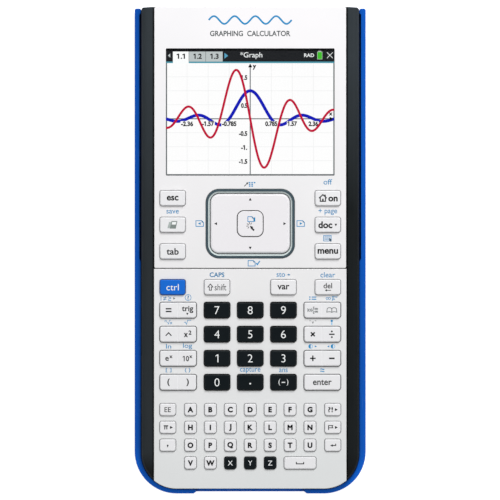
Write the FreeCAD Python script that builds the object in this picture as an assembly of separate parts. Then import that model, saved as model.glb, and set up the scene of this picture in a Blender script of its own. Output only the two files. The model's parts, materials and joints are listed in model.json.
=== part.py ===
import FreeCAD, Part
import os
from FreeCAD import Vector

# A school graphing calculator lying on its back with its hard slide-on cover parked behind it.
# Millimetres. X runs across the face, Y up the face, Z out of it. The origin is the middle of
# the cover's flat back, which is what rests on a desk.

# ---- Overall sizes ----
BODY_HALF_W = 42.05          # handheld, without the slide cover
BODY_TOP = 94.0
BODY_BOTTOM = -92.05
BODY_CORNER_R = 13.5         # the two bottom corners, seen from the front
SHOULDER_DROP = 0.2          # the top edge falls this much over each side rail
TOP_CORNER_R = 1.1

COVER_HALF_W = 44.66
COVER_TOP = 93.47
COVER_BOTTOM = -94.0
COVER_CORNER_R = 16.2
COVER_FLOOR = 1.6
COVER_WALL_TOP = 13.4
COVER_EDGE_R = 2.6
COVER_RIM_R = 0.25
COVER_STEP_Y = -3.3          # the cover's walls are thicker below this line
COVER_STEP = 0.9             # length of the slope where the thickness changes
COVER_HOOK = 1.9             # the walls are thick again over this length at their free ends
COVER_TIP_R = 0.8
WIDE_Z = 4.6                 # the walls are thinned above this height only
COVER_INNER_LOW = 42.15      # half the inside width below the step, and above it
COVER_INNER_HIGH = 42.75

# ---- Heights, counted from the desk ----
REAR_Z = 2.6                 # back of the handheld
REAR_FLOOR = 4.4
SPLIT_Z = 9.5                # where the rear case meets the front housing
SPLIT_GAP = 0.1
BOARD_Z = 9.7
BOARD_TOP = 10.9
DECK_Z = 14.9                # underside and top of the housing's deck
DECK_TOP = 16.0
RAIL_TOP = 17.1
PLATE_Z = 16.05
PLATE_TOP = 17.6
KEY_TOP = 18.5
SMALL_KEY_TOP = 18.3

WALL = 1.8
RAIL_EDGE_R = 2.5
REAR_EDGE_R = 3.0
GROOVE_X, GROOVE_Z, GROOVE_H = 41.45, 6.4, 1.5     # the cover's beads run in these side grooves
BEAD_X, BEAD_Z, BEAD_H = 41.75, 6.65, 1.0
BEAD_Y0, BEAD_Y1 = -70.0, 88.0
RECESS_HALF_W = 37.7         # half the width between the two side rails
UPPER_PLATE_HALF_W = 37.02
LOWER_PLATE_HALF_W = 37.15
PLATE_SETBACK = 0.1          # from the handheld's top edge
PLATE_SEAM_Y = -7.0
SEAM_GAP = 0.3
PLATE_EDGE_R = 0.25
FAR = 130.0                  # longer than anything that it cuts

# ---- Screen ----
SCREEN_Y = 53.4
SCREEN_W, SCREEN_H = 65.0, 49.0
WINDOW_THICK = 0.9
LCD_HALF_W = 34.7
LCD_Y0, LCD_Y1 = 25.9, 80.0
LCD_Z, LCD_TOP = 14.55, 15.95

# ---- Keys: width, height ----
KEY_GAP = 0.2                # round each dark key, in the faceplate
SMALL_GAP = 0.1              # round each white key and each letter
KEY_R = (1.0, 0.75)          # a key's lower corners are rounder than its upper ones
FUNCTION_KEY = (9.9, 5.9)
NUMBER_KEY = (9.9, 6.0)
ROCKER_KEY = (14.1, 6.0)
LETTER_KEY = (4.65, 4.75)
END_KEY = (6.25, 4.75)
SPACE_KEY = (12.4, 4.75)
KEY_TRAVEL = 1.0
FLANGE = 0.5                 # how far the lip under the deck stands out
FLANGE_Z, FLANGE_TOP = 14.0, 14.85
ROCKER_PIN_Z, ROCKER_PIN_R = 14.37, 0.5

OUTER_X = 29.95              # outer function keys
ROCKER_X = 27.83
NUMBER_PITCH_X = 12.82
END_X = 31.84
LETTER_PITCH_X = 7.69
UPPER_ROWS = (20.12, 9.84, -0.44)
CTRL_ROW = -14.24
NUMBER_ROWS = (-23.12, -32.4, -41.69, -50.95)
LETTER_ROWS = (-61.49, -68.36, -75.23, -82.1)
SPACE_X = 2.5 * LETTER_PITCH_X

# ---- Touchpad ----
PAD_Y = 10.29
RING_W, RING_H, RING_R = 34.2, 26.6, 5.2
RING_WALL = 1.5
RING_BEVEL = 0.6
RING_TOP = 17.9
PAD_GAP = 0.15
PAD_TOP = 17.75
SELECT_SIZE, SELECT_R = 9.8, 2.4
SELECT_GAP = 0.3             # round the select button
WELL_Z = 12.4                # underside of the well that carries the pad
WELL_FLOOR = 13.2
ROCKER_FRAME_Z, ROCKER_FRAME_TOP = 14.3, 15.1
SENSOR_Z, SENSOR_TOP = 15.85, 16.38
RIDGE_R = 0.5
RIDGE_GAP = 0.03

# ---- Display's flat cable: half width, and the heights of its two layers ----
FLEX_HALF_W, FLEX_THICK = 12.0, 0.15
FLEX_HIGH, FLEX_LOW = 14.4, 11.3
FLEX_START_Y, FLEX_TURN_Y, FLEX_END_Y = 27.9, 27.4, 40.2

# ---- Fasteners and posts ----
SCREW_HEAD_R, SCREW_HEAD_H = 1.5, 1.3
SCREW_R, SCREW_LENGTH = 0.8, 4.4
PILOT_R = 0.85
CASE_SCREWS = [(s * 37.2, y) for y in (85.5, 4.7, -56.2) for s in (-1, 1)]
BOARD_POSTS = [(s * x, y) for x, y in ((30.0, 84.5), (31.0, -7.3), (30.5, -82.1)) for s in (-1, 1)]
CASE_SCREW_SEAT = 5.2
BOSS_SPLIT = 6.0

# ---- Battery ----
BATTERY_W, BATTERY_L = 54.0, 35.5
BATTERY_Y = -38.75
BATTERY_Z, BATTERY_TOP = 4.6, 9.2
BAY_W, BAY_L, BAY_Y = 56.0, 38.0, -38.0
DOOR_W, DOOR_L, DOOR_Y = 60.0, 48.0, -41.0
DOOR_LEDGE = 3.8
DOOR_SCREWS = [(-22.0, -61.3), (22.0, -61.3)]

RESET_X, RESET_Y = 30.0, -12.0
FEET = [(-30.0, 80.0), (30.0, 80.0), (-27.0, -79.0), (27.0, -79.0)]
FOOT_R = 4.0
USB_W, USB_H, USB_Z = 7.7, 3.9, 5.55
DOCK_W, DOCK_Z, DOCK_TOP = 22.0, 5.2, 9.4


# ---- Building blocks ----
def line(x0, y0, x1, y1, z):
    return Part.makeLine(Vector(x0, y0, z), Vector(x1, y1, z))


def corner(cx, cy, r, start, z):
    """A quarter circle about (cx, cy), turning left from the angle start in degrees."""
    return Part.makeCircle(r, Vector(cx, cy, z), Vector(0, 0, 1), start, start + 90)


def rounded_wire(cx, cy, w, h, radius, z):
    """A rectangle with round corners. The radius may be a pair, for the lower and upper corners."""
    r, t = radius if isinstance(radius, tuple) else (radius, radius)
    x0, x1, y0, y1 = cx - w / 2, cx + w / 2, cy - h / 2, cy + h / 2
    return Part.Wire([
        line(x0 + r, y0, x1 - r, y0, z), corner(x1 - r, y0 + r, r, 270, z),
        line(x1, y0 + r, x1, y1 - t, z), corner(x1 - t, y1 - t, t, 0, z),
        line(x1 - t, y1, x0 + t, y1, z), corner(x0 + t, y1 - t, t, 90, z),
        line(x0, y1 - t, x0, y0 + r, z), corner(x0 + r, y0 + r, r, 180, z),
    ])


def grown(radius, by):
    return tuple(r + by for r in radius) if isinstance(radius, tuple) else radius + by


def prism(wire, height):
    return Part.Face(wire).extrude(Vector(0, 0, height))


def slab(cx, cy, w, h, r, z0, z1):
    return prism(rounded_wire(cx, cy, w, h, r, z0), z1 - z0)


def block(x0, x1, y0, y1, z0, z1):
    return Part.makeBox(x1 - x0, y1 - y0, z1 - z0, Vector(x0, y0, z0))


def rod(x, y, z0, z1, r):
    return Part.makeCylinder(r, z1 - z0, Vector(x, y, z0))


def taper(outer, inner, z0, z1):
    """A solid between two rounded rectangles given as (cx, cy, w, h, r)."""
    return Part.makeLoft([rounded_wire(*outer, z0), rounded_wire(*inner, z1)], True, True)


def tongue_wire(half_w, bottom, r, z, top=FAR):
    """A long strip with two round corners at its bottom end and a plain far end at the top."""
    return Part.Wire([
        line(-half_w + r, bottom, half_w - r, bottom, z),
        corner(half_w - r, bottom + r, r, 270, z),
        line(half_w, bottom + r, half_w, top, z),
        line(half_w, top, -half_w, top, z),
        line(-half_w, top, -half_w, bottom + r, z),
        corner(-half_w + r, bottom + r, r, 180, z),
    ])


def body_tongue(inset, z0, z1):
    wire = tongue_wire(BODY_HALF_W - inset, BODY_BOTTOM + inset, BODY_CORNER_R - inset, z0)
    return prism(wire, z1 - z0)


def body_end(inset, z0, z1):
    """Everything below the handheld's top edge, which drops a little over the side rails."""
    top, shoulder = BODY_TOP - inset, BODY_TOP - SHOULDER_DROP - inset
    half, r = BODY_HALF_W - inset, TOP_CORNER_R
    edges = [
        line(-half, -FAR, half, -FAR, z0),
        line(half, -FAR, half, shoulder - r, z0),
        corner(half - r, shoulder - r, r, 0, z0),
        line(half - r, shoulder, RECESS_HALF_W, top, z0),
        line(RECESS_HALF_W, top, -RECESS_HALF_W, top, z0),
        line(-RECESS_HALF_W, top, -half + r, shoulder, z0),
        corner(-half + r, shoulder - r, r, 90, z0),
        line(-half, shoulder - r, -half, -FAR, z0),
    ]
    return prism(Part.Wire(edges), z1 - z0)


def edges_at(shape, z, keep=lambda edge: True):
    """The edges that lie flat at the height z and that keep accepts."""
    box = [(e, e.BoundBox) for e in shape.Edges]
    return [e for e, b in box if abs(b.ZMin - z) < 1e-4 and abs(b.ZMax - z) < 1e-4 and keep(e)]


def inside_far_end(edge):
    return edge.BoundBox.YMin < FAR - 1


def only_solids(shape):
    shape = shape.removeSplitter()
    return shape.Solids[0] if len(shape.Solids) == 1 else Part.makeCompound(shape.Solids)


# ---- Keys ----
def plain_keys():
    """{node: [(x, y, size)]} for the keys that are pushed straight down."""
    left, mid, right = -NUMBER_PITCH_X, 0.0, NUMBER_PITCH_X
    keys = {}
    for column, names in ((-OUTER_X, ("esc", "scratchpad", "tab")), (OUTER_X, ("home_on", "doc", "menu"))):
        for name, y in zip(names, UPPER_ROWS):
            keys["key_" + name] = [(column, y, FUNCTION_KEY)]
    for name, x in (("ctrl", -OUTER_X), ("shift", left), ("var", right), ("del", OUTER_X)):
        keys["key_" + name] = [(x, CTRL_ROW, FUNCTION_KEY)]
    numbers = (("7", "8", "9"), ("4", "5", "6"), ("1", "2", "3"), ("0", "point", "negate"))
    for names, y in zip(numbers, NUMBER_ROWS):
        for name, x in zip(names, (left, mid, right)):
            keys["key_" + name] = [(x, y, NUMBER_KEY)]
    keys["key_enter"] = [(ROCKER_X, NUMBER_ROWS[3], ROCKER_KEY)]
    return keys


def letter_keys():
    """{node: [(x, y, size)]} for the alphabet block. Its keys are grouped by row."""
    columns = [(i - 3) * LETTER_PITCH_X for i in range(7)]
    rows = {}
    for number, y in enumerate(LETTER_ROWS[:3], start=1):
        ends = [(-END_X, y, END_KEY), (END_X, y, END_KEY)]
        rows[f"alpha_row_{number}_keys"] = ends + [(x, y, LETTER_KEY) for x in columns]
    y = LETTER_ROWS[3]
    rows["alpha_row_4_keys"] = [(x, y, LETTER_KEY) for x in columns[:2]] + [(SPACE_X, y, SPACE_KEY)]
    rows["xyz_keys"] = [(x, y, LETTER_KEY) for x in columns[2:5]]
    return rows


def rocker_keys():
    """{node: (x, y)} for the double keys, which tip left or right about their middle."""
    left = ("equals_trig", "power_square", "exponentials", "brackets")
    right = ("template_catalog", "multiply_divide", "add_subtract")
    keys = {"rocker_" + name: (-ROCKER_X, y) for name, y in zip(left, NUMBER_ROWS)}
    keys.update({"rocker_" + name: (ROCKER_X, y) for name, y in zip(right, NUMBER_ROWS)})
    return keys


def key_cap(x, y, size, top):
    """A cap with straight sides in the faceplate, drafted sides above it and a rounded rim."""
    w, h = size
    draft, rim, waist = 0.17, 0.38, PLATE_TOP - 0.3
    shank = slab(x, y, w, h, KEY_R, FLANGE_Z, waist)
    small = (x, y, w - 2 * draft, h - 2 * draft, grown(KEY_R, -0.1))
    head = taper((x, y, w, h, KEY_R), small, waist, top)
    return round_rim(shank.fuse(head).removeSplitter(), top, rim)


def round_rim(shape, z, r):
    return shape.makeFillet(r, edges_at(shape, z))


def plain_key(x, y, size, top):
    w, h = size
    lip = slab(x, y, w + 2 * FLANGE, h + 2 * FLANGE, KEY_R, FLANGE_Z, FLANGE_TOP)
    return only_solids(key_cap(x, y, size, top).fuse(lip))


def rocker_key(x, y):
    """A double key: a shallow valley marks its middle, and two pins under the deck carry it."""
    w, h = ROCKER_KEY
    pin_out, valley_w, valley_d = 0.8, 0.9, 0.09
    cap = key_cap(x, y, ROCKER_KEY, KEY_TOP)
    pin = Part.makeCylinder(ROCKER_PIN_R, h + 2 * pin_out, Vector(x, y - h / 2 - pin_out, ROCKER_PIN_Z),
                            Vector(0, 1, 0))
    groove = Part.Wire(Part.makePolygon([
        Vector(x - valley_w / 2, y - h, KEY_TOP + 1e-3), Vector(x + valley_w / 2, y - h, KEY_TOP + 1e-3),
        Vector(x, y - h, KEY_TOP - valley_d), Vector(x - valley_w / 2, y - h, KEY_TOP + 1e-3)]))
    valley = Part.Face(groove).extrude(Vector(0, 2 * h, 0))
    return only_solids(cap.fuse(pin).cut(valley))


def all_openings():
    """(x, y, w, h, gap) of every hole that a key needs."""
    roomy = (NUMBER_KEY, ROCKER_KEY)
    found = [(x, y, *size, KEY_GAP if size in roomy else SMALL_GAP)
             for keys in (*plain_keys().values(), *letter_keys().values()) for x, y, size in keys]
    return found + [(x, y, *ROCKER_KEY, KEY_GAP) for x, y in rocker_keys().values()]


# ---- Faceplates ----
def opening_tool(x, y, w, h, gap, r=KEY_R, edge=0.12):
    """Cuts a hole through a faceplate, with a fine break round its top edge."""
    w, h, r = w + 2 * gap, h + 2 * gap, grown(r, gap)
    hole = slab(x, y, w, h, r, PLATE_Z - 1, PLATE_TOP + 1)
    flare = taper((x, y, w, h, r), (x, y, w + 4 * edge, h + 4 * edge, grown(r, 2 * edge)),
                  PLATE_TOP - edge, PLATE_TOP + edge)
    return hole.fuse(flare)


def upper_faceplate():
    y0, y1 = PLATE_SEAM_Y + SEAM_GAP / 2, BODY_TOP - PLATE_SETBACK
    plate = slab(0, (y0 + y1) / 2, 2 * UPPER_PLATE_HALF_W, y1 - y0, 0.6, PLATE_Z, PLATE_TOP)
    plate = round_rim(plate, PLATE_TOP, PLATE_EDGE_R)
    tools = [opening_tool(*hole) for hole in all_openings() if hole[1] > PLATE_SEAM_Y]
    tools.append(opening_tool(0, SCREEN_Y, SCREEN_W, SCREEN_H, gap=0.06, r=0.3, edge=0.05))
    tools.append(opening_tool(0, PAD_Y, RING_W, RING_H, gap=0.1, r=RING_R))
    return only_solids(plate.cut(tools))


def lower_faceplate():
    y1 = PLATE_SEAM_Y - SEAM_GAP / 2
    plate = block(-LOWER_PLATE_HALF_W, LOWER_PLATE_HALF_W, -FAR, y1, PLATE_Z, PLATE_TOP)
    plate = plate.common(body_tongue(0.05, PLATE_Z, PLATE_TOP)).removeSplitter()
    plate = round_rim(plate, PLATE_TOP, PLATE_EDGE_R)
    tools = [opening_tool(*hole) for hole in all_openings() if hole[1] < PLATE_SEAM_Y]
    return only_solids(plate.cut(tools))


def screen_window():
    return slab(0, SCREEN_Y, SCREEN_W, SCREEN_H, 0.3, PLATE_Z, PLATE_Z + WINDOW_THICK)


# ---- Front housing: side rails, deck and the well under the touchpad ----
def housing_shell():
    z0 = SPLIT_Z + SPLIT_GAP
    rails = body_tongue(0, z0, RAIL_TOP)
    rails = rails.makeFillet(RAIL_EDGE_R, edges_at(rails, RAIL_TOP, inside_far_end))
    rails = rails.cut(block(-RECESS_HALF_W, RECESS_HALF_W, -FAR, FAR + 1, z0 - 1, RAIL_TOP + 1))
    middle = body_tongue(0, z0, DECK_TOP)
    middle = middle.common(block(-RECESS_HALF_W, RECESS_HALF_W, -FAR, FAR + 1, z0, DECK_TOP))
    shell = rails.fuse(middle).common(body_end(0, z0, RAIL_TOP))
    cavity = body_tongue(WALL, z0, DECK_Z).common(body_end(WALL, z0, DECK_Z))
    return shell.cut(cavity)


def touchpad_well():
    """A shallow tray under the deck, with two round ridges that the pad's frame rocks on."""
    outer = slab(0, PAD_Y, RING_W + 4, RING_H + 4, RING_R + 1, WELL_Z, DECK_Z)
    inner = slab(0, PAD_Y, RING_W + 2.4, RING_H + 2.4, RING_R + 0.2, WELL_FLOOR, DECK_Z)
    tray = outer.cut(inner)
    top = ROCKER_FRAME_Z - RIDGE_GAP
    for side in (-1, 1):
        x = side * 10.0
        foot = block(x - 1.5, x + 1.5, PAD_Y - RIDGE_R, PAD_Y + RIDGE_R, WELL_FLOOR - 0.1, top - RIDGE_R)
        crest = Part.makeCylinder(RIDGE_R, 3, Vector(x - 1.5, PAD_Y, top - RIDGE_R), Vector(1, 0, 0))
        tray = tray.fuse([foot, crest])
    return tray.cut(slab(0, PAD_Y, 13, 13, 2, WELL_Z - 1, DECK_Z))


def front_housing():
    shell = housing_shell()
    holes = [slab(x, y, w + 0.6, h + 0.6, KEY_R, DECK_Z - 0.5, DECK_TOP + 0.5)
             for x, y, w, h, _ in all_openings()]
    holes.append(block(-LCD_HALF_W - 0.4, LCD_HALF_W + 0.4, LCD_Y0 - 0.4, LCD_Y1 + 0.4,
                       DECK_Z - 0.5, DECK_TOP + 0.5))
    holes.append(slab(0, PAD_Y, RING_W + 2.4, RING_H + 2.4, RING_R + 0.2, DECK_Z - 0.5, DECK_TOP + 0.5))
    shell = shell.cut(holes)
    posts = [rod(x, y, BOSS_SPLIT, DECK_Z + 0.1, 1.9) for x, y in CASE_SCREWS]
    posts += [rod(x, y, BOARD_TOP + 0.05, DECK_Z + 0.1, 1.9) for x, y in BOARD_POSTS]
    shell = shell.fuse([touchpad_well(), *posts])
    ends = SCREW_LENGTH + 0.6
    pilots = [rod(x, y, BOSS_SPLIT - 1, CASE_SCREW_SEAT + ends, PILOT_R) for x, y in CASE_SCREWS]
    pilots += [rod(x, y, BOARD_TOP - 1, BOARD_Z + ends, PILOT_R) for x, y in BOARD_POSTS]
    return only_solids(shell.cut([*pilots, end_bevel(RAIL_TOP, -0.5)]))


def end_bevel(z, size):
    """Takes the corner off the top end at the height z: the back for a size above 0, or the front."""
    y, reach = BODY_TOP + 0.01, abs(size)
    section = Part.makePolygon([Vector(-FAR, y, z), Vector(-FAR, y - reach, z), Vector(-FAR, y, z + size),
                                Vector(-FAR, y, z)])
    return Part.Face(Part.Wire(section)).extrude(Vector(2 * FAR, 0, 0))


# ---- Rear case and what closes it ----
def rear_case():
    shell = body_tongue(0, REAR_Z, SPLIT_Z)
    shell = shell.makeFillet(REAR_EDGE_R, edges_at(shell, REAR_Z, inside_far_end))
    shell = shell.common(body_end(0, REAR_Z, SPLIT_Z))
    shell = shell.cut(body_tongue(WALL, REAR_FLOOR, SPLIT_Z).common(body_end(WALL, REAR_FLOOR, SPLIT_Z)))
    bosses = [rod(x, y, REAR_FLOOR - 0.2, BOSS_SPLIT - 0.1, 2.3) for x, y in CASE_SCREWS]
    bosses += [rod(x, y, REAR_FLOOR - 0.2, 7.4, 2.2) for x, y in DOOR_SCREWS]
    shell = shell.fuse(bosses)
    cuts = [rod(x, y, REAR_Z - 1, CASE_SCREW_SEAT, 1.7) for x, y in CASE_SCREWS]
    cuts += [rod(x, y, REAR_Z - 1, SPLIT_Z, 1.0) for x, y in CASE_SCREWS]
    cuts += [rod(x, y, REAR_Z - 1, 6.9, 0.9) for x, y in DOOR_SCREWS]
    cuts += [rod(x, y, REAR_Z - 1, REAR_Z + 0.3, FOOT_R + 0.1) for x, y in FEET]
    cuts.append(slab(0, DOOR_Y, DOOR_W, DOOR_L, 2.0, REAR_Z - 1, DOOR_LEDGE))
    cuts.append(slab(0, BAY_Y, BAY_W, BAY_L, 1.5, REAR_Z - 1, REAR_FLOOR + 1))
    cuts.append(rod(RESET_X, RESET_Y, REAR_Z - 1, REAR_FLOOR + 1, 1.6))
    cuts.append(slab_on_end(0, USB_Z + USB_H / 2, USB_W + 0.5, USB_H + 0.4, 0.6,
                            BODY_TOP - WALL - 0.2, BODY_TOP + 1))
    cuts.append(block(-DOCK_W / 2 - 0.2, DOCK_W / 2 + 0.2, BODY_BOTTOM - 1, BODY_BOTTOM + WALL + 0.2,
                      DOCK_Z - 0.2, SPLIT_Z + 1))
    cuts.append(end_bevel(REAR_Z, 1.4))
    cuts.append(beyond(GROOVE_X, -FAR, FAR, GROOVE_Z, GROOVE_H))
    return only_solids(shell.cut(cuts))


def beyond(x, y0, y1, z, height):
    """Two bars along the sides, from x outwards."""
    return block(-FAR, FAR, y0, y1, z, z + height).cut(block(-x, x, y0 - 1, y1 + 1, z - 1, z + height + 1))


def slab_on_end(cx, cz, w, h, r, y0, y1):
    """A rounded bar that runs along Y, its section centred on (cx, cz)."""
    bar = slab(0, 0, w, h, r, 0, y1 - y0)
    bar.rotate(Vector(0, 0, 0), Vector(1, 0, 0), 90)
    bar.translate(Vector(cx, y1, cz))
    return bar


def battery_door():
    gap, top = 0.2, DOOR_LEDGE - 0.05
    door = slab(0, DOOR_Y, DOOR_W - 2 * gap, DOOR_L - 2 * gap, 1.8, REAR_Z + 0.1, top)
    door = round_rim(door, REAR_Z + 0.1, 0.3)
    edge = BAY_Y + BAY_L / 2
    for x in (-14.0, 14.0):
        riser = block(x - 4, x + 4, edge - 1.2, edge - 0.2, top - 0.3, 5.2)
        hook = block(x - 4, x + 4, edge - 1.2, edge + 3.0, 4.5, 5.2)
        door = door.fuse([riser, hook])
    cuts = [rod(x, y, REAR_Z, 3.3, 1.9) for x, y in DOOR_SCREWS]
    cuts += [rod(x, y, REAR_Z, top + 1, 1.0) for x, y in DOOR_SCREWS]
    grip = [block(-8, 8, y, y + 0.7, REAR_Z, REAR_Z + 0.4) for y in (-58.0, -56.4, -54.8, -53.2)]
    return only_solids(door.cut(cuts + grip))


def battery_pack():
    pack = slab(0, BATTERY_Y, BATTERY_W, BATTERY_L, 2.0, BATTERY_Z, BATTERY_TOP)
    pack = pack.makeFillet(1.2, edges_at(pack, BATTERY_TOP) + edges_at(pack, BATTERY_Z))
    plug = block(-6, 6, BATTERY_Y + BATTERY_L / 2 - 0.5, BATTERY_Y + BATTERY_L / 2 + 0.6, 5.8, 8.6)
    return only_solids(pack.fuse(plug))


# ---- Slide cover ----
def slide_cover():
    tray = prism(tongue_wire(COVER_HALF_W, COVER_BOTTOM, COVER_CORNER_R, 0), COVER_WALL_TOP)
    tray = tray.makeFillet(COVER_EDGE_R, edges_at(tray, 0, inside_far_end))
    hollow = prism(tongue_wire(COVER_INNER_LOW, BODY_BOTTOM - 0.2, BODY_CORNER_R + 0.2, COVER_FLOOR), FAR)
    hollow = hollow.makeFillet(2.2, edges_at(hollow, COVER_FLOOR, inside_far_end))
    tray = tray.cut([hollow.fuse(wide_part()), block(-FAR, FAR, COVER_TOP, FAR + 1, -1, FAR)])
    tray = tray.cut([wall_tip(side) for side in (-1, 1)] + thumb_notch()).removeSplitter()
    tray = tray.makeFillet(COVER_RIM_R, edges_at(tray, COVER_WALL_TOP))
    beads = beyond(BEAD_X, BEAD_Y0, BEAD_Y1, BEAD_Z, BEAD_H)
    beads = beads.common(block(-COVER_INNER_HIGH - 0.3, COVER_INNER_HIGH + 0.3, -FAR, FAR, 0, FAR))
    grips = [slab(0, y, 24, 1.2, 0.59, -1, 0.45) for y in (-78.0, -75.0, -72.0, -69.0, -66.0)]
    return only_solids(tray.fuse(beads).cut(grips))


def wide_part():
    """The wider length of the hollow, between the step and the hooked ends of the walls."""
    end = COVER_TOP - COVER_HOOK
    right = [(COVER_INNER_LOW, COVER_STEP_Y - COVER_STEP), (COVER_INNER_HIGH, COVER_STEP_Y),
             (COVER_INNER_HIGH, end - COVER_STEP / 2), (COVER_INNER_LOW, end)]
    outline = right + [(-x, y) for x, y in reversed(right)]
    points = [Vector(x, y, WIDE_Z) for x, y in outline + outline[:1]]
    return Part.Face(Part.Wire(Part.makePolygon(points))).extrude(Vector(0, 0, FAR))


def wall_tip(side):
    """Waste that rounds the free end of one side wall. The floor beside it stays square."""
    thick = COVER_HALF_W - COVER_INNER_LOW
    x, deep = side * (COVER_HALF_W - thick / 2), 2 * COVER_TIP_R
    end = block(x - thick, x + thick, COVER_TOP - COVER_TIP_R, COVER_TOP + 1, -1, COVER_WALL_TOP + 1)
    kept = slab(x, COVER_TOP - deep, thick, 2 * deep, COVER_TIP_R, -2, COVER_WALL_TOP + 2)
    inner = x - side * thick
    floor = block(inner - thick / 2, inner + thick / 2, COVER_TOP - deep, COVER_TOP + 2, -2, WIDE_Z)
    return end.cut([kept, floor])


def thumb_notch():
    """The wide notch in the closed end: thinner and lower than the wall beside it."""
    deep, slope, half, low = 0.72, 1.0, 20.9, 9.2
    face = Part.Face(Part.Wire(Part.makePolygon([Vector(x, y, -1) for x, y in (
        (-half - slope, COVER_BOTTOM - 1), (half + slope, COVER_BOTTOM - 1), (half + slope, COVER_BOTTOM),
        (half, COVER_BOTTOM + deep), (-half, COVER_BOTTOM + deep), (-half - slope, COVER_BOTTOM),
        (-half - slope, COVER_BOTTOM - 1))])))
    return [face.extrude(Vector(0, 0, FAR)),
            block(-half, half, COVER_BOTTOM - 1, BODY_BOTTOM, low, FAR)]


# ---- Touchpad ----
def touchpad_ring():
    w, h = RING_W - 2 * RING_WALL, RING_H - 2 * RING_WALL
    ring = slab(0, PAD_Y, RING_W, RING_H, RING_R, PLATE_Z - 0.2, RING_TOP)
    ring = round_rim(ring, RING_TOP, 0.25)
    ring = ring.fuse(slab(0, PAD_Y, RING_W + 2, RING_H + 2, RING_R + 0.9, DECK_Z + 0.3, DECK_TOP - 0.03))
    r, bevel = RING_R - RING_WALL, RING_BEVEL
    mouth = slab(0, PAD_Y, w, h, r, DECK_Z, RING_TOP + 1)
    flare = taper((0, PAD_Y, w, h, r), (0, PAD_Y, w + 4 * bevel, h + 4 * bevel, r + 2 * bevel),
                  RING_TOP - bevel, RING_TOP + bevel)
    return only_solids(ring.cut([mouth, flare]))


def pad_plate(inset, z0, z1):
    w, h = RING_W - 2 * (RING_WALL + PAD_GAP + inset), RING_H - 2 * (RING_WALL + PAD_GAP + inset)
    return slab(0, PAD_Y, w, h, RING_R - RING_WALL - PAD_GAP - inset, z0, z1)


def pad_hole():
    size = SELECT_SIZE + 2 * SELECT_GAP
    return slab(0, PAD_Y, size, size, SELECT_R + SELECT_GAP, WELL_Z, RING_TOP + 1)


def touchpad_cover():
    plate = pad_plate(0, SENSOR_TOP + 0.02, PAD_TOP)
    return only_solids(round_rim(plate, PAD_TOP, 1.0).cut(pad_hole()))


def touchpad_sensor():
    return only_solids(pad_plate(0.45, SENSOR_Z, SENSOR_TOP).cut(pad_hole()))


def touchpad_frame():
    """The gimbal under the pad: it rocks front to back, and the pad rocks side to side on it."""
    frame = pad_plate(0.8, ROCKER_FRAME_Z, ROCKER_FRAME_TOP)
    frame = frame.cut(slab(0, PAD_Y, 12.6, 12.6, 2, WELL_Z, RING_TOP))
    crest_z = SENSOR_Z - RIDGE_GAP - RIDGE_R
    for y in (PAD_Y - 10.4, PAD_Y + 7.4):
        foot = block(-RIDGE_R, RIDGE_R, y, y + 3, ROCKER_FRAME_TOP - 0.1, crest_z)
        crest = Part.makeCylinder(RIDGE_R, 3, Vector(0, y, crest_z), Vector(0, 1, 0))
        frame = frame.fuse([foot, crest])
    return only_solids(frame)


def select_button():
    cap = slab(0, PAD_Y, SELECT_SIZE, SELECT_SIZE, SELECT_R, 15.0, PAD_TOP + 0.02)
    cap = round_rim(cap, PAD_TOP + 0.02, 0.3)
    lip = slab(0, PAD_Y, SELECT_SIZE + 1.4, SELECT_SIZE + 1.4, SELECT_R + 0.6, 15.0, 15.6)
    return only_solids(cap.fuse([lip, rod(0, PAD_Y, 12.2, 15.1, 1.5)]))


# ---- Screen module ----
def lcd_panel():
    return block(-LCD_HALF_W, LCD_HALF_W, LCD_Y0, LCD_Y1, LCD_Z, LCD_TOP)


def lcd_backlight():
    body = block(-LCD_HALF_W, LCD_HALF_W, LCD_Y0 + 2.1, LCD_Y1, 12.4, LCD_Z - 0.05)
    feet = [rod(s * 32.5, y, BOARD_TOP + 0.05, 12.5, 1.2) for s in (-1, 1) for y in (31.0, 77.5)]
    return only_solids(body.fuse(feet))


def lcd_flex():
    """A flat cable that leaves the panel's lower ledge, turns under and runs to its socket."""
    middle = (FLEX_HIGH + FLEX_LOW) / 2
    def at(y, z):
        return Vector(-FLEX_HALF_W, y, z)
    def side(offset):
        high, low = FLEX_HIGH + offset, FLEX_LOW - offset
        bend = Part.Arc(at(FLEX_TURN_Y, high), at(FLEX_TURN_Y - middle + low, middle), at(FLEX_TURN_Y, low))
        return [Part.makeLine(at(FLEX_START_Y, high), at(FLEX_TURN_Y, high)), bend.toShape(),
                Part.makeLine(at(FLEX_TURN_Y, low), at(FLEX_END_Y, low))]
    half = FLEX_THICK / 2
    ends = [Part.makeLine(at(y, z + half), at(y, z - half))
            for y, z in ((FLEX_START_Y, FLEX_HIGH), (FLEX_END_Y, FLEX_LOW))]
    wire = Part.Wire(Part.__sortEdges__(side(half) + side(-half) + ends))
    return Part.Face(wire).extrude(Vector(2 * FLEX_HALF_W, 0, 0))


# ---- Electronics ----
def main_board():
    board = slab(0, 1.5, 70.0, 173.0, 8.0, BOARD_Z, BOARD_TOP)
    return only_solids(board.cut([rod(x, y, BOARD_Z - 1, BOARD_TOP + 1, 1.0) for x, y in BOARD_POSTS]))


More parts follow.
